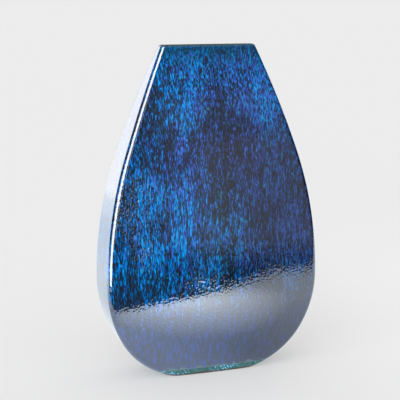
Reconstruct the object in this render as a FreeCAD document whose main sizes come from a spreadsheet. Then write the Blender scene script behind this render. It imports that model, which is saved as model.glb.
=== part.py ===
import FreeCAD, Part

# Flattened stoneware vase, in millimetres, +Z up, origin at the centre of the foot on the shelf.
#
# The front outline is a drop: a wide belly low down, and sides that lean in to a narrow, cut-off mouth. From the side
# it is a thin pillow, and both broad faces are slightly crowned from left to right. The glaze surface, the clay, the
# hollow and the liner are one form, each a stated thickness inside the last. The clay is divided into the slabs,
# strips and coils that a potter joins.

import os
import re
import Sketcher
from math import atan2, hypot, pi, sqrt

doc = FreeCAD.newDocument("vase")

# ---------------------------------------------------------------------------------------------------- sizes

SIZES = {
    "height": 380,                # shelf to rim
    "mouth_half_width": 55.2,     # rim, along X
    "mouth_half_depth": 9.5,      # rim, along Y, at the middle of the face
    "mouth_lean": 24,             # degrees that the side leans inwards at the rim
    "belly_half_width": 126,
    "belly_height": 112.5,        # where the outline is widest
    "belly_half_depth": 40.5,
    "bulge_height": 105,          # where the two faces stand furthest apart
    "foot_half_width": 52.5,
    "foot_half_depth": 25.5,
    "foot_rise": 18,              # degrees above level at which the underside leaves the foot
    "lower_blend": 1.1,           # tangent lengths of the outline's two lower arcs, first over second
    "upper_blend": 1.2,           # the same for its two upper arcs
    "crown_radius": 1200,         # left-to-right crown of each face
    "edge_radius": 6,             # rounding between face and side
    "glaze": 0.7,                 # outer coat and lip coat
    "wall": 4,                    # clay slabs and strips
    "liner": 0.4,                 # inner coat
    "base_slab_thickness": 7,
    "foot_ring_height": 5,
    "foot_ring_width": 7,
    "recess_corner": 8,           # corner rounding of the hollow inside the foot ring
    "coil_leg": 3,                # how far a seam coil, tooled to a bevel, reaches along each wall
    "base_coil_height": 12,       # above the floor, where the base coil gives way to the upright ones
    "glaze_line": 1.2,            # clay left bare above the shelf
    "foot_band_height": 8,        # top of the teal band
    "overrun": 2,                 # how far a cutting form passes a face that it cuts through
}

# Each half outline is two pairs of arcs: foot to belly, and belly to mouth. A pair joins its two ends, tangent to each
# other and to the stated direction at either end.
ARC_PAIRS = {
    "lower": {
        "start": ("foot_half_width", "0"), "leaving": ("cos(foot_rise)", "sin(foot_rise)"),
        "end": ("belly_half_width", "belly_height"), "arriving": ("0", "1"),
        "blend": "lower_blend",
    },
    "upper": {
        "start": ("belly_half_width", "belly_height"), "leaving": ("0", "1"),
        "end": ("mouth_half_width", "height"), "arriving": ("-sin(mouth_lean)", "cos(mouth_lean)"),
        "blend": "upper_blend",
    },
}
OUTLINE_ARCS = ("lower_first", "lower_second", "upper_first", "upper_second")

DERIVED = {
    "shelf": "0",
    "glaze_inset": "0",
    "clay_inset": "glaze",
    "hollow_inset": "glaze + wall",
    "void_inset": "glaze + wall + liner",
    "clay_edge_radius": "edge_radius - glaze",
    "rim_height": "height - glaze",
    "open_height": "height + overrun",
    "floor_height": "foot_ring_height + base_slab_thickness",
    "void_floor_height": "floor_height + liner",
    "upright_coil_height": "floor_height + base_coil_height",
    "half_span": "belly_half_width + 10",
    "half_reach": "belly_half_depth + belly_half_width ^ 2 / crown_radius + 5",
    "pad_depth": "2 * belly_half_depth + 2 * overrun",
    "crown_axis": "crown_radius - belly_half_depth",
    "crown_sweep": "4 * atan(belly_half_width / crown_radius)",
    "face_low_drop": "belly_half_depth - foot_half_depth",
    "face_low_radius": "(bulge_height ^ 2 + face_low_drop ^ 2) / (2 * face_low_drop)",
    "face_high_rise": "height - bulge_height",
    "face_high_drop": "belly_half_depth - mouth_half_depth",
    "face_high_radius": "(face_high_rise ^ 2 + face_high_drop ^ 2) / (2 * face_high_drop)",
    "mouth_face_lean": "face_high_rise / (face_high_radius - face_high_drop)",
    "mouth_end_crown": "mouth_half_width ^ 2 / (2 * crown_radius)",
    "slot_end_half_depth": "mouth_half_depth - mouth_end_crown - hollow_inset - overrun * mouth_face_lean",
    "coil_bevel": "min(coil_leg; 0.75 * slot_end_half_depth)",
    "void_bevel": "coil_bevel - (2 - sqrt(2)) * liner",
    "recess_half_width": "foot_half_width - foot_ring_width",
    "recess_half_depth": "foot_half_depth - foot_ring_width",
}


def arc_pair_cells(name, start, leaving, end, arriving, blend):
    """Formulas for one pair of tangent arcs.

    With the chord (u, v), the end directions (a, b) and (c, d), and k the first tangent length over the second, the
    second tangent length n solves 2k(1 - ac - bd) n^2 + 2(u(ka + c) + v(kb + d)) n = u^2 + v^2. The arcs meet
    halfway along the line between the two tangents' far ends, and an arc that turns by t has radius n / tan(t / 2).
    """
    u, v = f"({end[0]} - {start[0]})", f"({end[1]} - {start[1]})"
    (a, b), (c, d) = leaving, arriving
    first, second = f"{name}_first", f"{name}_second"
    cells = {
        f"{name}_bend": f"2 * {blend} * (1 - ({a}) * ({c}) - ({b}) * ({d}))",
        f"{name}_reach": f"{u} * ({blend} * ({a}) + ({c})) + {v} * ({blend} * ({b}) + ({d}))",
        f"{second}_tangent":
            f"(sqrt({name}_reach ^ 2 + {name}_bend * ({u} ^ 2 + {v} ^ 2)) - {name}_reach) / {name}_bend",
        f"{first}_tangent": f"{blend} * {second}_tangent",
        f"{name}_way_x": f"({u} - {first}_tangent * ({a}) - {second}_tangent * ({c})) "
                         f"/ ({first}_tangent + {second}_tangent)",
        f"{name}_way_z": f"({v} - {first}_tangent * ({b}) - {second}_tangent * ({d})) "
                         f"/ ({first}_tangent + {second}_tangent)",
        f"{name}_knot_x": f"{start[0]} + {first}_tangent * (({a}) + {name}_way_x)",
        f"{name}_knot_z": f"{start[1]} + {first}_tangent * (({b}) + {name}_way_z)",
    }
    for arc, along_x, along_z, point in ((first, a, b, start), (second, c, d, end)):
        cells[f"{arc}_turn"] = f"({along_x}) * {name}_way_x + ({along_z}) * {name}_way_z"
        cells[f"{arc}_radius"] = f"{arc}_tangent * sqrt((1 + {arc}_turn) / (1 - {arc}_turn))"
        cells[f"{arc}_centre_x"] = f"{point[0]} - {arc}_radius * ({along_z})"
        cells[f"{arc}_centre_z"] = f"{point[1]} + {arc}_radius * ({along_x})"
    return cells


def fill_sheet():
    """The spreadsheet: driving sizes as plain numbers, and formulas for what follows from them."""
    table = doc.addObject("Spreadsheet::Sheet", "sizes")
    contents = {alias: str(number) for alias, number in SIZES.items()}
    for name, pair in ARC_PAIRS.items():
        contents.update({alias: "=" + formula for alias, formula in arc_pair_cells(name, **pair).items()})
    contents.update({alias: "=" + formula for alias, formula in DERIVED.items()})
    for row, (alias, content) in enumerate(contents.items(), start=1):
        table.set(f"A{row}", alias)
        table.set(f"B{row}", content)
        table.setAlias(f"B{row}", alias)
    doc.recompute()
    return table


sheet = fill_sheet()


def size(alias):
    """The present value of a cell."""
    return float(sheet.get(alias))


def bind(thing, path, formula):
    """Ties a property or a sketch's dimension to the sheet. Every word in the formula is a cell's alias."""
    thing.setExpression(path, re.sub(r"[a-z]\w*", r"sizes.\g<0>", formula))


# ---------------------------------------------------------------------------------------------------- sketches

START, END, CENTRE = 1, 2, 3                # points of a line or an arc
ORIGIN, LEVEL_AXIS, UPRIGHT_AXIS = -1, -1, -2


def new_sketch(body, name, plane):
    """A sketch on one of its body's origin planes. Its x is X on the XZ plane and Y on the YZ plane; its y is Z."""
    sketch = body.newObject("Sketcher::SketchObject", f"{body.Name}_{name}")
    support = next(feature for feature in body.Origin.OriginFeatures if feature.Role == plane)
    sketch.AttachmentSupport = [(support, "")]
    sketch.MapMode = "FlatFace"
    return sketch


def rule(sketch, kind, *where):
    return sketch.addConstraint(Sketcher.Constraint(kind, *where))


def dimension(sketch, kind, *where, formula):
    """A driving dimension, tied to the sheet."""
    index = rule(sketch, kind, *where)
    sketch.renameConstraint(index, f"{kind}_{index}")
    bind(sketch, f"Constraints.{kind}_{index}", formula)


def at_x(sketch, geometry, point, formula, now):
    dimension(sketch, "DistanceX", ORIGIN, START, geometry, point, now, formula=formula)


def at_y(sketch, geometry, point, formula, now):
    dimension(sketch, "DistanceY", ORIGIN, START, geometry, point, now, formula=formula)


def line(sketch, start, end, construction=False):
    ends = [FreeCAD.Vector(*point, 0) for point in (start, end)]
    return sketch.addGeometry(Part.LineSegment(*ends), construction)


def arc(sketch, centre, radius, start, end):
    """An anticlockwise arc. The start and end need only lie in the right direction from the centre."""
    first, last = (atan2(point[1] - centre[1], point[0] - centre[0]) for point in (start, end))
    circle = Part.Circle(FreeCAD.Vector(*centre, 0), FreeCAD.Vector(0, 0, 1), radius)
    return sketch.addGeometry(Part.ArcOfCircle(circle, first, last if last > first else last + 2 * pi), False)


def level_point(centre, radius, level, side=1):
    """Where a circle passes a level, on the stated side of its centre."""
    return centre[0] + side * sqrt(radius ** 2 - (level - centre[1]) ** 2), level


def toward(centre, radius, target):
    """The point of a circle that lies in the target's direction."""
    way = (target[0] - centre[0], target[1] - centre[1])
    return tuple(c + radius * w / hypot(*way) for c, w in zip(centre, way))


def draw_outline(sketch, inset, low, high):
    """The drop outline, inset from the glazed surface, and cut level at low and at high."""
    centres = [(size(f"{name}_centre_x"), size(f"{name}_centre_z")) for name in OUTLINE_ARCS]
    radii = [size(f"{name}_radius") - size(inset) for name in OUTLINE_ARCS]
    knots = [
        level_point(centres[0], radii[0], size(low)),
        toward(centres[1], radii[1], (size("lower_knot_x"), size("lower_knot_z"))),
        toward(centres[2], radii[2], (size("belly_half_width"), size("belly_height"))),
        toward(centres[3], radii[3], (size("upper_knot_x"), size("upper_knot_z"))),
        level_point(centres[3], radii[3], size(high)),
    ]
    mirrored = [(-x, z) for x, z in knots]
    steps = range(len(OUTLINE_ARCS))
    right = [arc(sketch, centres[i], radii[i], knots[i], knots[i + 1]) for i in steps]
    left = [arc(sketch, (-centres[i][0], centres[i][1]), radii[i], mirrored[i + 1], mirrored[i]) for i in steps]
    base = line(sketch, mirrored[0], knots[0])
    rim = line(sketch, knots[-1], mirrored[-1])

    for i, name in enumerate(OUTLINE_ARCS):
        at_x(sketch, right[i], CENTRE, f"{name}_centre_x", centres[i][0])
        at_y(sketch, right[i], CENTRE, f"{name}_centre_z", centres[i][1])
        rule(sketch, "Symmetric", right[i], CENTRE, left[i], CENTRE, UPRIGHT_AXIS)
    dimension(sketch, "Radius", right[1], radii[1], formula=f"lower_second_radius - {inset}")
    rule(sketch, "Equal", right[1], left[1])
    for i in steps[:-1]:
        rule(sketch, "Tangent", right[i], END, right[i + 1], START)
        rule(sketch, "Tangent", left[i], START, left[i + 1], END)
    rule(sketch, "Coincident", base, END, right[0], START)
    rule(sketch, "Coincident", base, START, left[0], END)
    rule(sketch, "Coincident", rim, START, right[-1], END)
    rule(sketch, "Coincident", rim, END, left[-1], START)
    rule(sketch, "Horizontal", base)
    rule(sketch, "Horizontal", rim)
    at_y(sketch, base, END, low, knots[0][1])
    at_y(sketch, rim, START, high, knots[-1][1])


def draw_rectangle(sketch, half_width, low, high):
    """An upright rectangle about the sketch's upright axis."""
    x, bottom, top = size(half_width), size(low), size(high)
    corners = [(-x, bottom), (x, bottom), (x, top), (-x, top)]
    sides = [line(sketch, corners[i], corners[(i + 1) % 4]) for i in range(4)]
    for i in range(4):
        rule(sketch, "Coincident", sides[i], END, sides[(i + 1) % 4], START)
    rule(sketch, "Symmetric", sides[0], START, sides[0], END, UPRIGHT_AXIS)
    rule(sketch, "Vertical", sides[1])
    rule(sketch, "Horizontal", sides[2])
    rule(sketch, "Vertical", sides[3])
    at_x(sketch, sides[0], END, half_width, x)
    at_y(sketch, sides[0], END, low, bottom)
    at_y(sketch, sides[2], END, high, top)


def draw_face_cutter(sketch, side, inset, low, high):
    """What lies outside one broad face: two arcs, tangent where the faces bulge most, closed off well outside.

    The side is 1 for the back and -1 for the front. The first line is the upright axis of the face's crown.
    """
    sign = "" if side > 0 else "-"
    bulge = size("bulge_height")
    bottom, top = size(low) - size("overrun"), size(high) + size("overrun")
    low_radius, high_radius = (size(f"face_{end}_radius") for end in ("low", "high"))
    low_centre, high_centre = ((side * (size("belly_half_depth") - r), bulge) for r in (low_radius, high_radius))
    low_radius, high_radius = low_radius - size(inset), high_radius - size(inset)
    foot = level_point(low_centre, low_radius, bottom, side)
    belly = (low_centre[0] + side * low_radius, bulge)
    mouth = level_point(high_centre, high_radius, top, side)
    outside = side * size("half_reach")
    axis_x = -side * size("crown_axis")

    axis = line(sketch, (axis_x, 0), (axis_x, size("height")), construction=True)
    rule(sketch, "Vertical", axis)
    rule(sketch, "PointOnObject", axis, START, LEVEL_AXIS)
    at_x(sketch, axis, START, "-crown_axis" if side > 0 else "crown_axis", axis_x)
    at_y(sketch, axis, END, "height", size("height"))

    if side > 0:
        low_arc = arc(sketch, low_centre, low_radius, foot, belly)
        high_arc = arc(sketch, high_centre, high_radius, belly, mouth)
        foot_end, low_belly_end, high_belly_end, mouth_end = START, END, START, END
    else:
        low_arc = arc(sketch, low_centre, low_radius, belly, foot)
        high_arc = arc(sketch, high_centre, high_radius, mouth, belly)
        foot_end, low_belly_end, high_belly_end, mouth_end = END, START, END, START
    under = line(sketch, foot, (outside, bottom))
    beyond = line(sketch, (outside, bottom), (outside, top))
    over = line(sketch, (outside, top), mouth)

    for part, name, centre in ((low_arc, "face_low", low_centre), (high_arc, "face_high", high_centre)):
        at_x(sketch, part, CENTRE, f"{sign}(belly_half_depth - {name}_radius)", centre[0])
        at_y(sketch, part, CENTRE, "bulge_height", bulge)
    dimension(sketch, "Radius", low_arc, low_radius, formula=f"face_low_radius - {inset}")
    rule(sketch, "Tangent", low_arc, low_belly_end, high_arc, high_belly_end)
    rule(sketch, "Coincident", under, START, low_arc, foot_end)
    rule(sketch, "Coincident", under, END, beyond, START)
    rule(sketch, "Coincident", beyond, END, over, START)
    rule(sketch, "Coincident", over, END, high_arc, mouth_end)
    rule(sketch, "Horizontal", under)
    rule(sketch, "Vertical", beyond)
    rule(sketch, "Horizontal", over)
    at_x(sketch, beyond, START, f"{sign}half_reach", outside)
    at_y(sketch, beyond, START, f"{low} - overrun", bottom)
    at_y(sketch, beyond, END, f"{high} + overrun", top)


# ---------------------------------------------------------------------------------------------------- forms

def recomputed(feature):
    doc.recompute()
    return feature


def pad(body, sketch):
    """The sketch made as thick as the vase is deep, and a little over, half to the front and half to the back."""
    solid = body.newObject("PartDesign::Pad", f"{body.Name}_pad")
    solid.Profile = sketch
    solid.SideType = "Symmetric"
    bind(solid, "Length", "pad_depth")
    return recomputed(solid)


def shape_faces(body, inset, low, high):
    """Turns both broad faces, each about its own crown axis, which stands far behind it."""
    for name, side in (("front", -1), ("back", 1)):
        sketch = new_sketch(body, f"{name}_face", "YZ_Plane")
        draw_face_cutter(sketch, side, inset, low, high)
        groove = body.newObject("PartDesign::Groove", f"{body.Name}_{name}_groove")
        groove.Profile = sketch
        groove.ReferenceAxis = (sketch, ["Axis0"])
        groove.Midplane = True
        bind(groove, "Angle", "crown_sweep")
        before = body.Shape.Volume
        recomputed(groove)
        if not body.Shape.Volume < before:
            raise RuntimeError(f"{groove.Name} cut nothing")


def finish_edges(body, kind, measure, formula, edges):
    """A fillet or a chamfer on the named edges of the body as it stands."""
    turned = body.Tip
    finish = body.newObject(f"PartDesign::{kind}", f"{body.Name}_{kind.lower()}")
    finish.Base = (turned, edges)
    bind(finish, measure, formula)
    return recomputed(finish)


def edges_where(body, test):
    """Names of the edges whose lowest and highest ends pass the test."""
    names = []
    for index, edge in enumerate(body.Shape.Edges, start=1):
        levels = [vertex.Z for vertex in edge.Vertexes]
        if test(min(levels), max(levels)):
            names.append(f"Edge{index}")
    return names


def long_edges(body):
    """The edges between faces and sides, which all climb."""
    return edges_where(body, lambda lowest, highest: highest - lowest > 1)


def floor_edges(body, low):
    """The edges round the level face at the bottom."""
    level = size(low) + 0.01
    return edges_where(body, lambda lowest, highest: highest < level)


def form(label, inset, low, high, rounding=None, bevel=None):
    """The vase's form, inset from the glazed surface, between two levels.

    Its long edges are rounded, or they and the edges round its floor are bevelled, or all stay sharp.
    """
    body = doc.addObject("PartDesign::Body", label)
    outline = new_sketch(body, "outline", "XZ_Plane")
    draw_outline(outline, inset, low, high)
    pad(body, outline)
    shape_faces(body, inset, low, high)
    if rounding:
        finish_edges(body, "Fillet", "Radius", rounding, long_edges(body))
    if bevel:
        finish_edges(body, "Chamfer", "Size", bevel, long_edges(body) + floor_edges(body, low))
    return body


def outline_cutter(label, inset, low, high):
    """The drop outline straight through from front to back."""
    body = doc.addObject("PartDesign::Body", label)
    outline = new_sketch(body, "outline", "XZ_Plane")
    draw_outline(outline, inset, low, high)
    pad(body, outline)
    return body


def pillow(label, inset, low, high):
    """The space between the two broad faces, wider than the vase."""
    body = doc.addObject("PartDesign::Body", label)
    rectangle = new_sketch(body, "rectangle", "XZ_Plane")
    draw_rectangle(rectangle, "half_span", low, high)
    pad(body, rectangle)
    shape_faces(body, inset, low, high)
    return body


# ---------------------------------------------------------------------------------------------------- joining

def block(label, low, high, x_side=0, y_side=0):
    """A box between two levels. A side of -1 or 1 keeps only that half along X or Y."""
    box = doc.addObject("Part::Box", label)
    for length, corner, side, half in (("Length", "x", x_side, "half_span"), ("Width", "y", y_side, "half_reach")):
        bind(box, length, half if side else f"2 * {half}")
        if side < 1:
            bind(box, f"Placement.Base.{corner}", f"-{half}")
    bind(box, "Height", f"{high} - {low}")
    bind(box, "Placement.Base.z", low)
    return box


def combine(kind, label, base, tool):
    result = doc.addObject(f"Part::{kind}", label.replace(" ", "_"))
    result.Label = label
    result.Base = base
    result.Tool = tool
    return result


def common(label, base, tool):
    return combine("Common", label, base, tool)


def cut(label, base, tool):
    return combine("Cut", label, base, tool)


glaze_form = form("glaze_form", "glaze_inset", "shelf", "height", rounding="edge_radius")
clay_form = form("clay_form", "clay_inset", "shelf", "rim_height", rounding="clay_edge_radius")
hollow_form = form("hollow_form", "hollow_inset", "floor_height", "rim_height")
lined_form = form("lined_form", "hollow_inset", "floor_height", "rim_height", bevel="coil_bevel")
void_form = form("void_form", "void_inset", "void_floor_height", "open_height", bevel="void_bevel")
hollow_outline = outline_cutter("hollow_outline", "hollow_inset", "floor_height", "open_height")
hollow_pillow = pillow("hollow_pillow", "hollow_inset", "floor_height", "open_height")


def make_walls():
    """Front and back slabs over the whole outline, and side strips butted between them, all on the base slab."""
    slabs = cut("slabs", clay_form, hollow_pillow)
    strips = cut("strips", common("filling", clay_form, hollow_pillow), hollow_outline)
    return [
        common("front_wall", slabs, block("front_half", "floor_height", "height", y_side=-1)),
        common("back_wall", slabs, block("back_half", "floor_height", "height", y_side=1)),
        common("left_side_wall", strips, block("left_half", "floor_height", "height", x_side=-1)),
        common("right_side_wall", strips, block("right_half", "floor_height", "height", x_side=1)),
    ]


def make_recess():
    """The hollow inside the foot ring: a rectangle with rounded corners, from the shelf to the base slab."""
    hollow = doc.addObject("Part::Box", "recess_block")
    bind(hollow, "Length", "2 * recess_half_width")
    bind(hollow, "Width", "2 * recess_half_depth")
    bind(hollow, "Height", "foot_ring_height + overrun")
    bind(hollow, "Placement.Base.x", "-recess_half_width")
    bind(hollow, "Placement.Base.y", "-recess_half_depth")
    bind(hollow, "Placement.Base.z", "-overrun")
    doc.recompute()
    uprights = [int(name.removeprefix("Edge")) for name in long_edges(hollow)]
    recess = doc.addObject("Part::Fillet", "recess")
    recess.Base = hollow
    recess.Edges = [(index, size("recess_corner"), size("recess_corner")) for index in uprights]
    return recess


def make_base():
    """The floor slab, and under it the bare ring that the vase stands on."""
    ring = common("foot_blank", clay_form, block("foot_layer", "shelf", "foot_ring_height"))
    return [
        common("base_slab", clay_form, block("base_layer", "foot_ring_height", "floor_height")),
        cut("foot_ring", ring, make_recess()),
    ]


def make_coils():
    """Soft clay pressed into the inside seams: one coil round the floor, and one up each corner."""
    coils = cut("coils", hollow_form, lined_form)
    pieces = [common("base_seam_coil", coils, block("coil_floor_layer", "floor_height", "upright_coil_height"))]
    for y_name, y_side in (("front", -1), ("back", 1)):
        for x_name, x_side in (("left", -1), ("right", 1)):
            corner = block(f"{y_name}_{x_name}_corner", "upright_coil_height", "height", x_side, y_side)
            pieces.append(common(f"{y_name}_{x_name}_seam_coil", coils, corner))
    return pieces


def make_glazes():
    """The fired coats. The outer ones stop short of the shelf; the liner stops under the lip coat."""
    coat = cut("coat", glaze_form, clay_form)
    lip_layer = common("lip_layer", glaze_form, block("lip_block", "rim_height", "height"))
    return [
        common("outer_glaze", coat, block("blue_layer", "foot_band_height", "rim_height")),
        common("foot_glaze_band", coat, block("teal_layer", "glaze_line", "foot_band_height")),
        cut("lip_glaze", lip_layer, void_form),
        cut("liner_glaze", lined_form, void_form),
    ]


# ---------------------------------------------------------------------------------------------------- writing

def check_document():
    failed = [thing.Name for thing in doc.Objects if {"Invalid", "Error"} & set(thing.State)]
    if failed:
        raise RuntimeError(f"not made: {failed}")


def write(pieces):
    os.makedirs("parts", exist_ok=True)
    for piece in pieces:
        shape = piece.Shape
        if shape.isNull() or not shape.isValid() or not shape.Solids:
            raise RuntimeError(f"{piece.Label} is not a valid solid")
        print(f"{piece.Label}: {len(shape.Solids)} solid, {shape.Volume / 1000:.2f} cm3")
    for piece in pieces:
        piece.Shape.exportStep(f"parts/{piece.Label}.step")


nodes = make_walls() + make_base() + make_coils() + make_glazes()
doc.recompute()
check_document()
write(nodes)
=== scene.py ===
"""Glazes, clay and studio for a flattened, drop-shaped stoneware vase.

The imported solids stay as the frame.  The three glaze skins that show are made
again as fine closed shells that follow the same outline, and every solid that
stays is dressed in a procedural clay or glaze.
"""

import logging
import math
from dataclasses import dataclass, field
from enum import Enum
from functools import cached_property
from typing import Sequence

import bpy
import numpy as np
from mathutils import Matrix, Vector


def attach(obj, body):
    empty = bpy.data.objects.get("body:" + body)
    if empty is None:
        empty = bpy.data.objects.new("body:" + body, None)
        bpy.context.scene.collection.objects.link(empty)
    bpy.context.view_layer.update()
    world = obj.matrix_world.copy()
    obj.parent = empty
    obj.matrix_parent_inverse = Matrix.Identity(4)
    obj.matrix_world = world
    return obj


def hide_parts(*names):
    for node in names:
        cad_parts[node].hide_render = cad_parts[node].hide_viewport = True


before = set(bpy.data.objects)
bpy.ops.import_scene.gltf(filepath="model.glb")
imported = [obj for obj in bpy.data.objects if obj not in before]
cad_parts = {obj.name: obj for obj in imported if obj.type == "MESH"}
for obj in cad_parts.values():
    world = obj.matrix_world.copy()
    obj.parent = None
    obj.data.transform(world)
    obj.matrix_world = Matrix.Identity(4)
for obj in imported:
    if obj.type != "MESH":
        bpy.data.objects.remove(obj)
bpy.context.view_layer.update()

Array = np.ndarray
Colour = tuple[float, float, float]
Point = tuple[float, float, float]
Stops = tuple[tuple[float, Colour], ...]
Socket = bpy.types.NodeSocket

MM = 0.001
BODY = "root"
SEED = 20731
log = logging.getLogger("vase")


class Slot(str, Enum):
    """The record's material slot names for the glaze skins; the script does not use them."""

    BLUE_GLAZE = "blue_glaze"
    TEAL_GLAZE = "teal_glaze"
    LIP_GLAZE = "lip_glaze"


# ---------------------------------------------------------------- the form


@dataclass(frozen=True)
class Arc:
    """A circle that carries one stretch of the side outline."""

    centre_x: float
    centre_z: float
    radius: float

    def half_width(self, z: Array, inset: Array) -> Array:
        """Give the outline's distance from the middle plane.

        The arc's centre plus the root of (radius less inset) squared less the
        height above the centre squared.

        Args:
            z: heights in metres.
            inset: distance inside the outline, along its normal.

        Returns:
            Half widths in metres.
        """
        reach = (self.radius - inset) ** 2 - (z - self.centre_z) ** 2
        return self.centre_x + np.sqrt(np.maximum(reach, 0.0))


@dataclass(frozen=True)
class VaseForm:
    """The vase's outside, as half widths and half depths at a height."""

    height: float = 380 * MM
    mouth_half_width: float = 55.2 * MM
    mouth_half_depth: float = 9.5 * MM
    mouth_lean: float = math.radians(24)
    belly_half_width: float = 126 * MM
    belly_height: float = 112.5 * MM
    belly_half_depth: float = 40.5 * MM
    bulge_height: float = 105 * MM
    foot_half_width: float = 52.5 * MM
    foot_half_depth: float = 25.5 * MM
    foot_rise: float = math.radians(18)
    lower_blend: float = 1.1
    upper_blend: float = 1.2
    crown_radius: float = 1200 * MM
    edge_radius: float = 6 * MM

    @staticmethod
    def arc_pair(
        start: Array, leave: Array, end: Array, arrive: Array, ratio: float
    ) -> tuple[Arc, Arc, float]:
        """Join two points, each with its direction, by two arcs that meet smoothly.

        The first arc's tangent length is ratio times the second's, and both
        lengths solve the quadratic that makes the joining chord tangent to
        both arcs.

        Args:
            start: first point (x, z).
            leave: unit direction at the start.
            end: last point (x, z).
            arrive: unit direction at the end.
            ratio: first tangent length over the second.

        Returns:
            Both arcs and the height at which they meet.
        """
        span = end - start
        bend = 2 * ratio * (1 - leave @ arrive)
        along = span @ (ratio * leave + arrive)
        second = (math.sqrt(along**2 + bend * (span @ span)) - along) / bend
        first = ratio * second
        chord = (span - first * leave - second * arrive) / (first + second)
        radius_1 = first * math.sqrt((1 + leave @ chord) / (1 - leave @ chord))
        radius_2 = second * math.sqrt((1 + arrive @ chord) / (1 - arrive @ chord))
        centre_1 = start + radius_1 * np.array([-leave[1], leave[0]])
        centre_2 = end + radius_2 * np.array([-arrive[1], arrive[0]])
        knot = start + first * (leave + chord)
        return Arc(*centre_1, radius_1), Arc(*centre_2, radius_2), float(knot[1])

    @cached_property
    def outline(self) -> tuple[tuple[Arc, float], ...]:
        """Join foot to belly and belly to mouth by arcs.

        Returns:
            The arcs, lowest first, each with the height at which it ends.
        """
        up = np.array([0.0, 1.0])
        foot = np.array([self.foot_half_width, 0.0])
        belly = np.array([self.belly_half_width, self.belly_height])
        mouth = np.array([self.mouth_half_width, self.height])
        flare = np.array([math.cos(self.foot_rise), math.sin(self.foot_rise)])
        lean = np.array([-math.sin(self.mouth_lean), math.cos(self.mouth_lean)])
        low_1, low_2, low_knot = self.arc_pair(foot, flare, belly, up, self.lower_blend)
        top_1, top_2, top_knot = self.arc_pair(belly, up, mouth, lean, self.upper_blend)
        past_rim = 2 * self.height
        lower = (low_1, low_knot), (low_2, self.belly_height)
        return *lower, (top_1, top_knot), (top_2, past_rim)

    def half_width(self, z: Array, inset: Array) -> Array:
        """Pick each height's own arc, which ends where its end normal meets the inset line.

        Args:
            z: heights in metres.
            inset: distance inside the outline.

        Returns:
            Half widths in metres.
        """
        width = np.zeros(np.broadcast(z, inset).shape)
        found = np.zeros(width.shape, bool)
        for arc, end in self.outline:
            limit = end - inset * (end - arc.centre_z) / arc.radius
            here = (z < limit) & ~found
            width = np.where(here, arc.half_width(z, inset), width)
            found |= here
        return width

    def half_depth(self, x: Array, z: Array, inset: Array) -> Array:
        """Give the crowned face's distance from the middle plane.

        Up the middle the depth follows one arc below the bulge and a flatter
        one above it; across, it follows a circle of the crown radius.

        Args:
            x: distances from the middle, across.
            z: heights in metres.
            inset: distance inside the face.

        Returns:
            Half depths in metres.
        """
        low_drop = self.belly_half_depth - self.foot_half_depth
        top_drop = self.belly_half_depth - self.mouth_half_depth
        top_rise = self.height - self.bulge_height
        low = (self.bulge_height**2 + low_drop**2) / (2 * low_drop)
        top = (top_rise**2 + top_drop**2) / (2 * top_drop)
        radius = np.where(z < self.bulge_height, low, top)
        middle = self.belly_half_depth - radius + np.sqrt(radius**2 - (z - self.bulge_height) ** 2)
        axis = self.crown_radius - self.belly_half_depth
        return np.sqrt((axis + middle) ** 2 - x**2) - axis - inset


@dataclass(frozen=True)
class Around:
    """Where each column of a grid lies on its way round the vase.

    Each column has a share of the flat side, of the rounded edge and of the
    face, from 0 to 1, and the signs of its quarter.
    """

    side: Array
    edge: Array
    face: Array
    sign_x: Array
    sign_y: Array

    @classmethod
    def spaced(cls, side: int, edge: int, face: int) -> "Around":
        """Lay the columns out: one quarter from the side's middle to the face's, mirrored twice.

        Args:
            side: columns on a quarter's side.
            edge: columns on its rounded edge.
            face: columns on its face.

        Returns:
            The columns of the whole way round.
        """
        none_left = np.ones(edge + face + 1)
        side_share = np.concatenate([np.linspace(0, 1, side, endpoint=False), none_left])
        turning = np.linspace(0, 1, edge, endpoint=False)
        edge_share = np.concatenate([np.zeros(side), turning, np.ones(face + 1)])
        face_share = np.concatenate([np.zeros(side + edge), np.linspace(0, 1, face + 1)])
        count = side_share.size
        forward = np.arange(count)
        order = np.concatenate([forward, forward[-2::-1], forward[1:], forward[-2:0:-1]])
        lengths = (count, count - 1, count - 1, count - 2)
        sign_x = np.repeat([1.0, -1.0, -1.0, 1.0], lengths)
        sign_y = np.repeat([1.0, 1.0, -1.0, -1.0], lengths)
        shares = (side_share[order], edge_share[order], face_share[order])
        return cls(*shares, sign_x, sign_y)


@dataclass(frozen=True)
class Ripples:
    """Gentle waves in a surface, as a sum of slow plane waves through space."""

    count: int = 14
    shortest: float = 34 * MM
    longest: float = 120 * MM
    depth: float = 0.2 * MM
    seed: int = SEED

    def __call__(self, points: Array) -> Array:
        """Sum the waves and bring the sum between 0 and the depth.

        Args:
            points: places, with x, y, z along the last axis.

        Returns:
            How far each place is pressed in.
        """
        draw = np.random.default_rng(self.seed)
        heading = draw.normal(size=(self.count, 3))
        heading /= np.linalg.norm(heading, axis=1, keepdims=True)
        length = draw.uniform(self.shortest, self.longest, self.count)
        phase = draw.uniform(0, 2 * math.pi, self.count)
        weight = length / length.sum()
        angle = points @ (heading * (2 * math.pi / length)[:, None]).T + phase
        return self.depth * 0.5 * (1 + np.sin(angle) @ weight)


FORM = VaseForm()
LEAST_ROUND = 0.2 * MM


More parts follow.
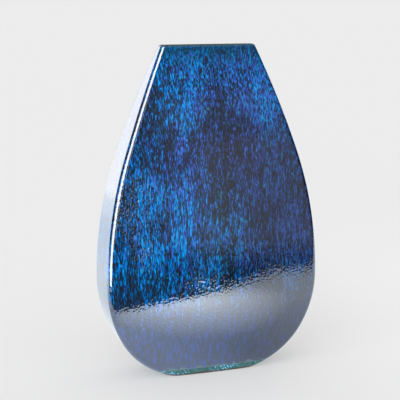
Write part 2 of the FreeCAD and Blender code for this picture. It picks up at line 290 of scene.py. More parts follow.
def place(z: Array, inset: Array, around: Around) -> Array:
    """Give the points of a skin at some heights and insets.

    On the side a point keeps the outline's half width; on the rounded edge it
    turns by a quarter circle between side and face; on the face it keeps the
    crowned half depth.

    Args:
        z: heights, one row per profile point, one column per place around.
        inset: distance inside the vase's outside, in the same shape.
        around: the columns.

    Returns:
        Points, with x, y, z along the last axis.
    """
    round_off = np.maximum(FORM.edge_radius - inset, LEAST_ROUND)
    turn = around.edge * (math.pi / 2)
    corner_x = FORM.half_width(z, inset + round_off * (1 - np.cos(turn)))
    x = corner_x * (1 - around.face)
    y = (FORM.half_depth(x, z, inset) - round_off * (1 - np.sin(turn))) * around.side
    return np.stack([x * around.sign_x, y * around.sign_y, z], axis=-1)


def add_object(name: str, data: bpy.types.ID) -> bpy.types.Object:
    """Make an object and put it into the scene.

    Args:
        name: its name.
        data: its mesh, lamp or camera.

    Returns:
        The new object.
    """
    thing = bpy.data.objects.new(name, data)
    bpy.context.scene.collection.objects.link(thing)
    return thing


def loop_mesh(name: str, points: Array) -> bpy.types.Object:
    """Make a closed ring mesh from a grid that joins up both ways.

    Args:
        name: the piece's name.
        points: rows along the profile, columns around, x, y, z last.

    Returns:
        The new object, smooth, at the origin.
    """
    rows, columns = points.shape[:2]
    index = np.arange(rows * columns).reshape(rows, columns)
    right = np.roll(index, -1, axis=1)
    above = np.roll(index, -1, axis=0)
    across = np.roll(right, -1, axis=0)
    quads = np.stack([index, right, across, above], axis=-1).reshape(-1, 4)
    mesh = bpy.data.meshes.new(name)
    mesh.vertices.add(rows * columns)
    mesh.vertices.foreach_set("co", points.reshape(-1).astype(np.float32))
    mesh.loops.add(quads.size)
    mesh.loops.foreach_set("vertex_index", quads.reshape(-1).astype(np.int32))
    mesh.polygons.add(len(quads))
    mesh.polygons.foreach_set("loop_start", np.arange(0, quads.size, 4, dtype=np.int32))
    mesh.polygons.foreach_set("loop_total", np.full(len(quads), 4, dtype=np.int32))
    mesh.polygons.foreach_set("use_smooth", np.ones(len(quads), dtype=bool))
    mesh.update(calc_edges=True)
    return add_object(name, mesh)


# ---------------------------------------------------------------- materials


@dataclass(frozen=True)
class Grain:
    """A noise pattern's fineness, its drawing out along z, its start and its octaves."""

    per_metre: float
    upright: float = 1.0
    start: Point = (0.0, 0.0, 0.0)
    octaves: float = 2.0


@dataclass(frozen=True)
class Spot:
    """A soft spot that raises or lowers a value round its centre."""

    centre: Point
    reach: Point
    weight: float = 1.0


@dataclass(frozen=True)
class Fade:
    """A smooth change from one result to another over a range of values."""

    low: float
    high: float
    to_low: float = 0.0
    to_high: float = 1.0


class Shader:
    """A material's node tree, built with short calls."""

    MIX_FIRST, MIX_SECOND, MIX_RESULT = 6, 7, 2
    MIDDLE_GREY: Colour = (0.5, 0.5, 0.5)
    UPRIGHT_SHARE = 0.3
    NOISE_LOW, NOISE_HIGH = 0.3, 0.7

    def __init__(self, name: str) -> None:
        """Start a material with a Principled surface.

        Args:
            name: the material's name.
        """
        self.material = bpy.data.materials.new(name)
        self.material.use_nodes = True
        self.tree = self.material.node_tree
        self.surface = self.tree.nodes["Principled BSDF"]
        self.object = self.tree.nodes.new("ShaderNodeTexCoord").outputs["Object"]

    def _feed(self, socket: Socket, value: object) -> None:
        """Link a socket to an output, or set its number or colour.

        Args:
            socket: the input.
            value: an output, a number, a vector or a colour.
        """
        if isinstance(value, Socket):
            self.tree.links.new(value, socket)
        elif isinstance(value, tuple) and len(value) == 3 and socket.type == "RGBA":
            socket.default_value = (*value, 1.0)
        else:
            socket.default_value = value

    def _node(
        self, kind: str, inputs: dict[str | int, object], **settings: object
    ) -> bpy.types.Node:
        """Add a node.

        Args:
            kind: its type, without the usual first word.
            inputs: what each input is linked or set to, by name or number.
            settings: its other properties.

        Returns:
            The new node.
        """
        node = self.tree.nodes.new(f"ShaderNode{kind}")
        for name, value in settings.items():
            setattr(node, name, value)
        for key, value in inputs.items():
            self._feed(node.inputs[key], value)
        return node

    def set(self, **values: object) -> None:
        """Set or link the surface's sockets; an underscore stands for a space."""
        for name, value in values.items():
            self._feed(self.surface.inputs[name.replace("_", " ")], value)

    def stretch(self, scale: Point, vector: object = None, move: Point = (0, 0, 0)) -> Socket:
        """Scale and move a pattern's coordinates.

        Args:
            scale: factor along x, y and z.
            vector: coordinates to change, the object's own when None.
            move: shift in metres.

        Returns:
            The changed coordinates.
        """
        inputs = {"Vector": vector or self.object, "Scale": scale, "Location": move}
        return self._node("Mapping", inputs).outputs["Vector"]

    def noise(
        self,
        scale: float,
        vector: object = None,
        detail: float = 2.0,
        rough: float = 0.5,
        output: str = "Fac",
    ) -> Socket:
        """Add fractal noise.

        Args:
            scale: cells per metre.
            vector: its coordinates, the object's own when None.
            detail: octaves.
            rough: weight of each finer octave.
            output: which output is wanted.

        Returns:
            The noise's output.
        """
        inputs = {"Scale": scale, "Detail": detail, "Roughness": rough}
        return self._node("TexNoise", {"Vector": vector or self.object, **inputs}).outputs[output]

    def grain(self, grain: Grain, vector: object = None, output: str = "Fac") -> Socket:
        """Add a drawn-out noise pattern.

        Args:
            grain: its make.
            vector: its coordinates, the object's own when None.
            output: which output is wanted.

        Returns:
            The pattern's output.
        """
        drawn = self.stretch((1, 1, grain.upright), vector, grain.start)
        return self.noise(grain.per_metre, drawn, grain.octaves, output=output)

    def cells(self, scale: float) -> Socket:
        """Add a cell pattern.

        Args:
            scale: cells per metre.

        Returns:
            The distance from the nearest cell's centre.
        """
        inputs = {"Vector": self.object, "Scale": scale}
        return self._node("TexVoronoi", inputs).outputs["Distance"]

    def pool(self, spot: Spot) -> Socket:
        """Give a soft spot: 1 at its centre, falling evenly to 0 at its reach.

        Args:
            spot: its centre and half sizes in metres.

        Returns:
            The spot's strength, without its weight.
        """
        scale = tuple(1 / size for size in spot.reach)
        move = tuple(-at / size for at, size in zip(spot.centre, spot.reach))
        inputs = {"Vector": self.stretch(scale, move=move)}
        return self._node("TexGradient", inputs, gradient_type="SPHERICAL").outputs["Fac"]

    def add_spots(self, value: object, spots: Sequence[Spot]) -> Socket:
        """Raise or lower a value by each spot's strength times its weight.

        Args:
            value: the value to change.
            spots: the spots, in the order in which they are added.

        Returns:
            The changed value.
        """
        for spot in spots:
            value = self.sum("MULTIPLY_ADD", self.pool(spot), spot.weight, value)
        return value

    def axis(self, name: str) -> Socket:
        """Give the object's own coordinate along an axis.

        Args:
            name: X is to the right of the middle, and Z is up from the foot.

        Returns:
            The distance in metres.
        """
        return self._node("SeparateXYZ", {0: self.object}).outputs[name]

    def fade(self, value: object, fade: Fade) -> Socket:
        """Bring a value from one range smoothly to another, held at both ends.

        Args:
            value: the value to change.
            fade: its range, and the results at the range's ends.

        Returns:
            The new value.
        """
        numbers = dict(enumerate((value, fade.low, fade.high, fade.to_low, fade.to_high)))
        return self._node("MapRange", numbers, interpolation_type="SMOOTHSTEP").outputs["Result"]

    def swing(self, pattern: object, to_low: float, to_high: float) -> Socket:
        """Fade between two results over the usual range of a noise."""
        return self.fade(pattern, Fade(self.NOISE_LOW, self.NOISE_HIGH, to_low, to_high))

    def wavy_height(self, pattern: object, reach: float) -> Socket:
        """Give the height above the foot, pushed by a pattern up or down by up to the reach."""
        return self.sum("ADD", self.axis("Z"), self.swing(pattern, -reach, reach))

    def sum(self, operation: str, first: object, second: object = 0.0, third: object = 0.0) -> Socket:
        """Combine values.

        Args:
            operation: what is done, such as ADD or MULTIPLY.
            first: a value.
            second: a value.
            third: a value, for an operation that takes three.

        Returns:
            The result.
        """
        values = dict(enumerate((first, second, third)))
        return self._node("Math", values, operation=operation).outputs[0]

    def shift(self, offset: object, amount: float) -> Socket:
        """Push the object's coordinates about by a colour noise, less along z.

        Args:
            offset: colour whose middle grey means no shift.
            amount: shift in metres for a full colour step.

        Returns:
            The pushed coordinates.
        """
        step = (amount, amount, amount * self.UPRIGHT_SHARE)
        centred = self._node("VectorMath", {0: offset, 1: self.MIDDLE_GREY}, operation="SUBTRACT")
        inputs = {0: centred.outputs[0], 1: step, 2: self.object}
        return self._node("VectorMath", inputs, operation="MULTIPLY_ADD").outputs[0]

    def blend(self, share: object, first: object, second: object, kind: str = "MIX") -> Socket:
        """Mix two colours.

        Args:
            share: how much of the second colour.
            first: colour at a share of 0.
            second: colour at a share of 1.
            kind: blend type.

        Returns:
            The mixed colour.
        """
        inputs = {"Factor": share, self.MIX_FIRST: first, self.MIX_SECOND: second}
        node = self._node("Mix", inputs, data_type="RGBA", blend_type=kind)
        return node.outputs[self.MIX_RESULT]

    def ramp(self, value: object, stops: Stops) -> Socket:
        """Colour a value by a row of stops.

        Args:
            value: the value to colour.
            stops: each stop's place and colour, lowest first.

        Returns:
            The colour.
        """
        node = self._node("ValToRGB", {"Fac": value})
        marks = node.color_ramp.elements
        while len(marks) < len(stops):
            marks.new(1.0)
        for mark, (at, colour) in zip(marks, stops):
            mark.position = at
            mark.color = (*colour, 1.0)
        return node.outputs["Color"]

    def relief(self, height: object, distance: float, under: object = None) -> Socket:
        """Turn a height pattern into a bump.

        Args:
            height: the pattern.
            distance: depth in metres of a full step.
            under: normal of a bump below this one.

        Returns:
            The bumped normal.
        """
        inputs = {"Strength": 1.0, "Distance": distance, "Height": height}
        if under is not None:
            inputs["Normal"] = under
        return self._node("Bump", inputs).outputs["Normal"]


@dataclass(frozen=True)
class Gloss:
    """How a fired glaze shines."""

    index: float = 2.0
    coat_index: float = 1.8
    coat_weight: float = 1.0
    coat_roughness: float = 0.02

    def apply(self, shader: Shader) -> None:
        """Set the shine's constants on the surface's own sockets."""
        shader.set(IOR=self.index, Coat_IOR=self.coat_index)
        shader.set(Coat_Weight=self.coat_weight, Coat_Roughness=self.coat_roughness)


@dataclass(frozen=True)
class FurGlaze:
    """Blue hare's-fur glaze: fine bright streaks that ran down a near-black ground."""

    furs: Stops = (
        (0.0, (0.013, 0.022, 0.036)),
        (0.30, (0.010, 0.042, 0.090)),
        (0.54, (0.002, 0.095, 0.310)),
        (0.76, (0.000, 0.190, 0.760)),
        (1.0, (0.000, 0.420, 1.0)),
    )
    violets: Stops = (
        (0.0, (0.012, 0.016, 0.032)),
        (0.35, (0.014, 0.032, 0.115)),
        (0.60, (0.028, 0.072, 0.38)),
        (1.0, (0.040, 0.200, 0.85)),
    )
    cyan: Colour = (0.02, 0.45, 0.80)
    slate: Colour = (0.018, 0.050, 0.140)
    deep: Colour = (0.014, 0.070, 0.430)
    teal_cast: Colour = (0.004, 0.080, 0.120)
    teal: Colour = (0.05, 0.155, 0.19)
    sway: Grain = Grain(26.0, 0.5, octaves=1.0)
    sway_reach: float = 1.6 * MM
    fur: Grain = Grain(740.0, 0.13, octaves=1.0)
    hair: Grain = Grain(1150.0, 0.20, (0.3, 0.1, 0.2), 0.0)
    clump: Grain = Grain(240.0, 0.10, (0.0, 0.7, 0.1))
    drift: Grain = Grain(24.0, 0.6, (1.3, 0.2, 0.4))
    tint: Grain = Grain(17.0, 0.5, (4.1, 0.7, 2.0))
    thread: Grain = Grain(400.0, 0.14, (2.2, 0.5, 0.8), 1.0)
    fleck: Grain = Grain(520.0, 0.35, (0.9, 0.4, 0.2), 0.0)
    long_run: Grain = Grain(430.0, 0.055, (0.6, 1.1, 0.3))
    ground: float = -2.25
    weights: tuple[float, ...] = (1.95, 1.3, 1.10, 0.98, -0.13)
    violet_spot: Spot = Spot((0.016, -0.04, 0.272), (0.050, 0.20, 0.105), -0.22)
    spots: tuple[Spot, ...] = (
        Spot((0.007, -0.04, 0.205), (0.018, 0.20, 0.110), -0.36),
        # painted shade: this spot darkens the middle of the face just above the table's reflection
        # line.
        Spot((0.012, -0.04, 0.128), (0.040, 0.20, 0.035), -0.24),
        Spot((0.062, -0.04, 0.285), (0.040, 0.20, 0.065), 0.18),
        Spot((-0.052, -0.04, 0.168), (0.050, 0.20, 0.048), 0.14),
    )
    aged_spot: Spot = Spot((0.100, -0.04, 0.175), (0.090, 0.20, 0.120))
    aged_violet: float = 1.3
    thread_weight: float = 1.4
    low_violet: float = 0.5
    low_slate: float = 0.70
    low_wander: float = 9 * MM
    rim_wander: float = 8 * MM
    run_wander: float = 2 * MM
    run_per_metre: float = 160.0
    aside_drift: float = 0.10
    low_zone: Fade = Fade(45 * MM, 112 * MM, 1.0, 0.0)
    # painted shade: the streaks are dimmed below 140 mm, and fully below 114 mm, to darken the band
    # just above the table's reflection line.
    painted_shade_band: Fade = Fade(114 * MM, 140 * MM, -0.15, 0.0)
    violet_mix: Fade = Fade(0.46, 0.74)
    deep_share: Fade = Fade(0.48, 0.70, 0.0, 0.85)
    fleck_share: Fade = Fade(0.64, 0.76)
    fleck_drift: Fade = Fade(0.40, 0.62, 0.0, 0.5)
    fleck_low: Fade = Fade(0.1, 0.7, 1.0, 0.0)
    teal_rim: Fade = Fade(350 * MM, 382 * MM, 0.0, 0.5)
    wane_right: Fade = Fade(20 * MM, 135 * MM, 1.0, 0.42)
    wane_high: Fade = Fade(215 * MM, 330 * MM, 0.0, 0.85)
    thin_foot: Fade = Fade(8.5 * MM, 11.5 * MM, 1.0, 0.0)
    peel_per_metre: float = 380.0
    peel_rough: float = 0.4
    peel_depth: float = 0.12 * MM
    fur_depth: float = 0.012 * MM
    fur_polish: tuple[float, float] = (0.07, 0.04)
    crawled: Spot = Spot((-0.086, -0.04, 0.188), (0.034, 0.07, 0.080))
    crawled_low: Spot = Spot((-0.022, -0.04, 0.119), (0.045, 0.07, 0.017), 0.26)
    crawl: Fade = Fade(0.0, 0.6, 1.0, 7.0)
    gloss: Gloss = field(default_factory=Gloss)

    def strength(self, s: Shader, patterns: Sequence[Socket]) -> Socket:
        """Add the patterns up, raise or lower the sum where the glaze ran thick or thin, and lower it
        as painted shade below 140 mm and in a spot just above the table's reflection line.

        Args:
            s: the material's shader.
            patterns: fur, hair, clump, drift and the low zone.

        Returns:
            How bright the streaks are.
        """
        total: object = self.ground
        for pattern, weight in zip(patterns, self.weights):
            total = s.sum("MULTIPLY_ADD", pattern, weight, total)
        total = s.add_spots(total, (self.violet_spot, *self.spots))
        # the last step adds the painted shade low on the body
        return s.sum("ADD", total, s.fade(s.axis("Z"), self.painted_shade_band))

    def streaks(self, s: Shader, strength: Socket, low: Socket, swayed: Socket) -> Socket:
        """Colour the streaks blue, violet in places, and slate with deep blue runs low down.

        Args:
            s: the material's shader.
            strength: how bright the streaks are.
            low: how far a place belongs to the low zone.
            swayed: the streaks' coordinates.

        Returns:
            The colour.
        """
        tint = s.grain(self.tint)
        thread = s.grain(self.thread, swayed)
        aged = s.sum("MULTIPLY", s.pool(self.violet_spot), self.aged_violet)
        aged = s.add_spots(aged, (self.aged_spot,))
        mixed = s.sum("MULTIPLY_ADD", s.sum("SUBTRACT", thread, 0.5), self.thread_weight, tint)
        aged = s.sum("MULTIPLY_ADD", low, self.low_violet, aged)
        violet = s.sum("ADD", s.fade(mixed, self.violet_mix), aged)
        colour = s.ramp(strength, self.furs)
        colour = s.blend(s.fade(violet, Fade(0.0, 1.0)), colour, s.ramp(strength, self.violets))
        colour = s.blend(s.sum("MULTIPLY", low, self.low_slate), colour, self.slate)
        deep = s.fade(s.grain(self.long_run, swayed), self.deep_share)
        return s.blend(s.sum("MULTIPLY", low, deep), colour, self.deep)

    def wane(self, s: Shader, drift: Socket) -> Socket:
        """Dim the glaze to the right, but not near the lip.

        Args:
            s: the material's shader.
            drift: slow noise that makes the dimming uneven.

        Returns:
            The factor on the colour.
        """
        right = s.fade(s.sum("MULTIPLY_ADD", drift, self.aside_drift, s.axis("X")), self.wane_right)
        return s.sum("MAXIMUM", right, s.fade(s.axis("Z"), self.wane_high))

    def material(self) -> bpy.types.Material:
        """Layer fur, hairs and slow drifts, colour them, and peel the surface like orange skin.

        Returns:
            The finished material.
        """
        s = Shader("fur_glaze")
        swayed = s.shift(s.grain(self.sway, output="Color"), self.sway_reach)
        fur, hair, clump = (s.grain(one, swayed) for one in (self.fur, self.hair, self.clump))
        drift = s.grain(self.drift)
        low = s.fade(s.wavy_height(clump, self.low_wander), self.low_zone)
        strength = self.strength(s, (fur, hair, clump, drift, low))
        colour = self.streaks(s, strength, low, swayed)

        fleck = s.fade(s.grain(self.fleck, swayed), self.fleck_share)
        spark = s.sum("MULTIPLY", fleck, s.fade(drift, self.fleck_drift))
        spark = s.sum("MULTIPLY", spark, s.fade(low, self.fleck_low))
        colour = s.blend(spark, colour, self.cyan)
        rim = s.fade(s.wavy_height(clump, self.rim_wander), self.teal_rim)
        colour = s.blend(rim, colour, self.teal_cast)
        colour = s.blend(1.0, colour, self.wane(s, drift), "MULTIPLY")
        run = s.wavy_height(s.noise(self.run_per_metre), self.run_wander)
        colour = s.blend(s.fade(run, self.thin_foot), colour, self.teal)

        crawled = s.add_spots(s.pool(self.crawled), (self.crawled_low,))
        peel = s.noise(self.peel_per_metre, detail=1.0, rough=self.peel_rough)
        skin = s.relief(s.sum("MULTIPLY", peel, s.fade(crawled, self.crawl)), self.peel_depth)
        s.set(Base_Color=colour, Roughness=s.swing(fur, *self.fur_polish))
        s.set(Normal=s.relief(fur, self.fur_depth, under=skin), Coat_Normal=skin)
        self.gloss.apply(s)
        return s.material


@dataclass(frozen=True)
class BandGlaze:
    """Thin teal glaze at the foot, with blue dots and a brown contact line."""

    teal: Colour = (0.045, 0.190, 0.200)
    dark: Colour = (0.020, 0.095, 0.100)
    dot: Colour = (0.16, 0.60, 1.0)
    brown: Colour = (0.045, 0.042, 0.022)
    mottle_per_metre: float = 150.0
    mottle_share: Fade = Fade(0.35, 0.65)
    cluster: Grain = Grain(22.0, start=(0.4, 0.0, 0.3), octaves=1.0)
    dot_size: Fade = Fade(0.42, 0.62, 0.12, 0.46)
    dot_edge: Fade = Fade(0.0, -0.10)
    dots_per_metre: float = 330.0
    wander: Grain = Grain(120.0, start=(2.0, 0.0, 0.0))
    wander_reach: float = 0.5 * MM
    contact: Fade = Fade(1.4 * MM, 2.6 * MM, 1.0, 0.0)
    polish: tuple[float, float] = (0.22, 0.12)
    bumps_per_metre: float = 260.0
    bump_depth: float = 0.04 * MM
    gloss: Gloss = field(default_factory=lambda: Gloss(1.55, 1.5, 0.5, 0.08))

    def material(self) -> bpy.types.Material:
        """Scatter dots in clusters over mottled teal and brown the lowest edge.

        Returns:
            The finished material.
        """
        s = Shader("band_glaze")
        mottle = s.noise(self.mottle_per_metre, detail=3.0)
        colour = s.blend(s.fade(mottle, self.mottle_share), self.dark, self.teal)
        size = s.fade(s.grain(self.cluster), self.dot_size)
        dots = s.fade(s.sum("SUBTRACT", s.cells(self.dots_per_metre), size), self.dot_edge)
        colour = s.blend(dots, colour, self.dot)
        foot = s.fade(s.wavy_height(s.grain(self.wander), self.wander_reach), self.contact)
        colour = s.blend(foot, colour, self.brown)
        s.set(Base_Color=colour, Roughness=s.swing(mottle, *self.polish))
        s.set(Normal=s.relief(s.noise(self.bumps_per_metre), self.bump_depth))
        self.gloss.apply(s)
        return s.material


@dataclass(frozen=True)
class LipGlaze:
    """Blue glaze that thinned over the lip's edges."""

    blue: Colour = (0.004, 0.060, 0.130)
    pale: Colour = (0.003, 0.160, 0.420)
    thin: Colour = (0.090, 0.125, 0.125)
    fur_per_metre: float = 620.0
    fur_upright: float = 0.13
    fur_rough: float = 0.6
    fur_share: Fade = Fade(0.40, 0.62)
    top_wander: float = 0.4 * MM
    top: Fade = Fade(378.4 * MM, 379.6 * MM)
    polish: tuple[float, float] = (0.12, 0.2)
    bumps_per_metre: float = 300.0
    bump_depth: float = 0.03 * MM
    gloss: Gloss = field(default_factory=lambda: Gloss(1.7, 1.6, 0.6, 0.06))

    def material(self) -> bpy.types.Material:
        """Streak the glaze finely and pale it towards the top, where it is thin.

        Returns:
            The finished material.
        """
        s = Shader("lip_glaze")
        fur = s.noise(self.fur_per_metre, s.stretch((1, 1, self.fur_upright)), 2.0, self.fur_rough)
        colour = s.blend(s.fade(fur, self.fur_share), self.blue, self.pale)
        top = s.fade(s.wavy_height(fur, self.top_wander), self.top)
        colour = s.blend(top, colour, self.thin)
        s.set(Base_Color=colour, Roughness=s.swing(fur, *self.polish))
        s.set(Normal=s.relief(s.noise(self.bumps_per_metre), self.bump_depth))
        self.gloss.apply(s)
        return s.material


@dataclass(frozen=True)
class LinerGlaze:
    """Dark clear glaze inside the vase."""

    dark: Colour = (0.012, 0.012, 0.014)
    warm: Colour = (0.040, 0.024, 0.014)
    runs: Grain = Grain(60.0, 0.2, octaves=3.0)
    run_share: Fade = Fade(0.4, 0.65)
    run_depth: float = 0.1 * MM
    polish: tuple[float, float] = (0.15, 0.3)

    def material(self) -> bpy.types.Material:
        """Mottle black and brown with soft runs.

        Returns:
            The finished material.
        """
        s = Shader("liner_glaze_finish")
        runs = s.grain(self.runs)
        s.set(Base_Color=s.blend(s.fade(runs, self.run_share), self.dark, self.warm))
        s.set(Roughness=s.swing(runs, *self.polish), Normal=s.relief(runs, self.run_depth))
        return s.material


@dataclass(frozen=True)
class FiredClay:
    """Stoneware clay: speckled, dry and slightly sandy."""

    name: str
    pale: Colour
    dark: Colour
    speck: Colour = (0.030, 0.018, 0.010)
    mottle_per_metre: float = 70.0
    mottle_rough: float = 0.6
    mottle_share: Fade = Fade(0.35, 0.65)
    specks_per_metre: float = 420.0
    speck_edge: Fade = Fade(0.22, 0.14)
    speck_share: float = 0.7
    grain_per_metre: float = 900.0
    grain_rough: float = 0.7
    grain_depth: float = 0.15 * MM
    polish: tuple[float, float] = (0.7, 0.9)
    index: float = 1.45

    def material(self) -> bpy.types.Material:
        """Mottle the clay, scatter iron specks and roughen its skin.

        Returns:
            The finished material.
        """
        s = Shader(self.name)
        mottle = s.noise(self.mottle_per_metre, detail=4.0, rough=self.mottle_rough)
        colour = s.blend(s.fade(mottle, self.mottle_share), self.dark, self.pale)
        specks = s.fade(s.cells(self.specks_per_metre), self.speck_edge)
        colour = s.blend(s.sum("MULTIPLY", specks, self.speck_share), colour, self.speck)
        grain = s.noise(self.grain_per_metre, detail=3.0, rough=self.grain_rough)
        s.set(Base_Color=colour, Roughness=s.swing(mottle, *self.polish))
        s.set(Normal=s.relief(grain, self.grain_depth), IOR=self.index)
        return s.material


# ---------------------------------------------------------------- the glaze skins


@dataclass(frozen=True)
class GlazeSkin:
    """A closed glaze shell over the clay."""

    thickness: float = 0.7 * MM
    line_height: float = 8 * MM
    line_wander: float = 0.9 * MM
    lip_start: float = 378 * MM
    hold: float = 0.06 * MM
    side_columns: int = 13
    edge_columns: int = 15
    face_columns: int = 64

    @property
    def around(self) -> Around:
        """The columns that all the skins share, so that their edges meet."""
        return Around.spaced(self.side_columns, self.edge_columns, self.face_columns)

    def glaze_line(self, around: Around) -> Array:
        """Give each column's height for the line where the blue glaze stopped running.

        Args:
            around: the columns.

        Returns:
            Heights in metres, which wander about the line's nominal height.
        """
        nominal = place(np.full((1, around.side.size), self.line_height), np.zeros(1), around)[0]
        wave = Ripples(
            count=9, shortest=11 * MM, longest=45 * MM, depth=self.line_wander, seed=SEED + 1
        )
        return self.line_height + wave(nominal) - self.line_wander / 2

    def skin(
        self, name: str, low: Array, high: Array, rows: int, inner_rows: int
    ) -> bpy.types.Object:
        """Build a shell between two lines round the vase.

        The profile climbs outside, turns in over the upper line, comes down
        inside by the glaze's thickness and turns out under the lower line;
        rows close to each turn keep the shading crisp.

        Args:
            name: the piece's name.
            low: lower line's height, per column.
            high: upper line's height, per column.
            rows: rows outside.
            inner_rows: rows inside, which stay smooth.

        Returns:
            The new object.
        """
        around = self.around
        tall = high - low
        share = self.hold / float(tall.min())
        outside = np.concatenate([[0.0], np.linspace(share, 1 - share, rows), [1.0]])
        inside = np.concatenate([[1.0], np.linspace(1 - share, share, inner_rows), [0.0]])
        z_out = low + outside[:, None] * tall
        z_in = low + inside[:, None] * tall
        pressed = Ripples()(place(z_out, np.zeros_like(z_out), around))
        out = place(z_out, pressed, around)
        back = place(z_in, np.full_like(z_in, self.thickness), around)
        return loop_mesh(name, np.concatenate([out, back]))


@dataclass(frozen=True)
class OuterGlaze(GlazeSkin):
    """The blue glaze over the whole body, from the foot's band to the lip."""

    rows: int = 228
    inner_rows: int = 24
    finish: FurGlaze = field(default_factory=FurGlaze)

    def build(self) -> bpy.types.Object:
        """Make the shell, ride it on the body and dress it.

        Returns:
            The new object.
        """
        around = self.around
        line = self.glaze_line(around)
        top = np.full_like(line, self.lip_start)
        piece = self.skin("blue_glaze_skin", line, top, self.rows, self.inner_rows)
        piece.data.materials.append(self.finish.material())
        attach(piece, BODY)
        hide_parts("outer_glaze")
        return piece


@dataclass(frozen=True)
class FootBand(GlazeSkin):
    """The thin teal band below the blue glaze."""

    foot_line: float = 1.2 * MM
    rows: int = 14
    inner_rows: int = 4
    finish: BandGlaze = field(default_factory=BandGlaze)

    def build(self) -> bpy.types.Object:
        """Make the band, ride it on the body and dress it.

        Returns:
            The new object.
        """
        around = self.around
        line = self.glaze_line(around)
        low = np.full_like(line, self.foot_line)
        piece = self.skin("foot_band_skin", low, line, self.rows, self.inner_rows)
        piece.data.materials.append(self.finish.material())
        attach(piece, BODY)
        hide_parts("foot_glaze_band")
        return piece


@dataclass(frozen=True)
class Lip(GlazeSkin):
    """The glazed rim round the mouth, with its outer and inner edges rounded."""

    wall: float = 5.1 * MM
    outer_round: float = 2.0 * MM
    inner_round: float = 0.7 * MM
    clay_top: float = 379.3 * MM
    turns: int = 9
    flat_columns: int = 6
    finish: LipGlaze = field(default_factory=LipGlaze)

    def build(self) -> bpy.types.Object:
        """Carry the rim's profile round the mouth, ride it on the body and dress it.

        The profile climbs a quarter circle outside, crosses the top, drops a
        smaller quarter circle inside, and closes over the clay's top.

        Returns:
            The new object.
        """
        around = self.around
        bend = np.linspace(0, math.pi / 2, self.turns)
        top = FORM.height
        rise, run = 1 - np.cos(bend), np.sin(bend)
        inner_start = self.wall - self.inner_round
        outer = np.stack([self.outer_round * rise, top - self.outer_round * (1 - run)])
        flat = np.linspace(self.outer_round, inner_start, self.flat_columns)[1:-1]
        level = np.stack([flat, np.full(flat.size, top)])
        inner = np.stack([inner_start + self.inner_round * run, top - self.inner_round * rise])
        under = np.array([[self.thickness, self.clay_top], [self.thickness, self.lip_start]]).T
        inset, height = np.concatenate([outer, level, inner, under], axis=1)
        z = np.repeat(height[:, None], around.side.size, axis=1)
        deep = np.repeat(inset[:, None], around.side.size, axis=1)
        outside = np.clip(1 - deep / self.thickness, 0, 1)
        pressed = Ripples()(place(z, np.zeros_like(z), around)) * outside
        piece = loop_mesh("lip_skin", place(z, deep + pressed, around))
        piece.data.materials.append(self.finish.material())
        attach(piece, BODY)
        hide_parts("lip_glaze")
        return piece


@dataclass(frozen=True)
class ClayBody:
    """The fired clay walls, slab, ring and seam coils, and the glaze that lines them."""

    walls: tuple[str, ...] = (
        "front_wall",
        "back_wall",
        "left_side_wall",
        "right_side_wall",
        "base_slab",
        "base_seam_coil",
        "front_left_seam_coil",
        "front_right_seam_coil",
        "back_left_seam_coil",
        "back_right_seam_coil",
    )
    ring: str = "foot_ring"
    liner: str = "liner_glaze"
    clay: FiredClay = FiredClay("fired_clay", (0.36, 0.27, 0.19), (0.24, 0.17, 0.115))
    toasted: FiredClay = FiredClay("toasted_clay", (0.20, 0.115, 0.06), (0.10, 0.055, 0.03))

    def dress(self) -> int:
        """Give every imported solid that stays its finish.

        Returns:
            How many solids were dressed.
        """
        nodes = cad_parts
        shared = self.clay.material()
        for name in self.walls:
            nodes[name].data.materials[0] = shared
        nodes[self.ring].data.materials[0] = self.toasted.material()
        nodes[self.liner].data.materials[0] = LinerGlaze().material()
        return len(self.walls) + 2


# ---------------------------------------------------------------- the studio


class Seen(Enum):
    """What a lamp is for."""

    GLOSS = "gloss"
    LIGHT = "light"


def hang(name: str, lamp: bpy.types.Light, place_at: Point, aim: Point, seen: Seen) -> None:
    """Put a lamp in the studio, out of the camera's sight.

    Args:
        name: the lamp's name.
        lamp: its data.
        place_at: where it hangs.
        aim: where it points.
        seen: whether it makes gloss or light.
    """
    thing = add_object(name, lamp)
    thing.location = place_at
    thing.rotation_mode = "QUATERNION"
    thing.rotation_quaternion = (Vector(aim) - Vector(place_at)).to_track_quat("-Z", "Y")
    thing.visible_camera = False
    thing.visible_glossy = seen is not Seen.LIGHT
    thing.visible_diffuse = seen is not Seen.GLOSS


@dataclass(frozen=True)
class SoftBox:
    """A rectangular studio lamp."""

    name: str
    place: Point
    aim: Point
    width: float
    tall: float
    radiance: float
    seen: Seen
    colour: Colour = (1.0, 1.0, 1.0)

    def build(self) -> None:
        """Make the lamp; its power is pi times its radiance times its area."""
        lamp = bpy.data.lights.new(self.name, "AREA")
        lamp.color = self.colour
        lamp.shape = "RECTANGLE"
        lamp.size, lamp.size_y = self.width, self.tall
        lamp.energy = math.pi * self.radiance * self.width * self.tall
        hang(self.name, lamp, self.place, self.aim, self.seen)


@dataclass(frozen=True)
class Sun:
    """Broad even light from one side, as from a large window."""

    name: str
    place: Point
    strength: float
    spread: float

    def build(self) -> None:
        """Make the lamp, aimed at the foot."""
        lamp = bpy.data.lights.new(self.name, "SUN")
        lamp.energy = self.strength
        lamp.angle = self.spread
        hang(self.name, lamp, self.place, (0.0, 0.0, 0.0), Seen.LIGHT)


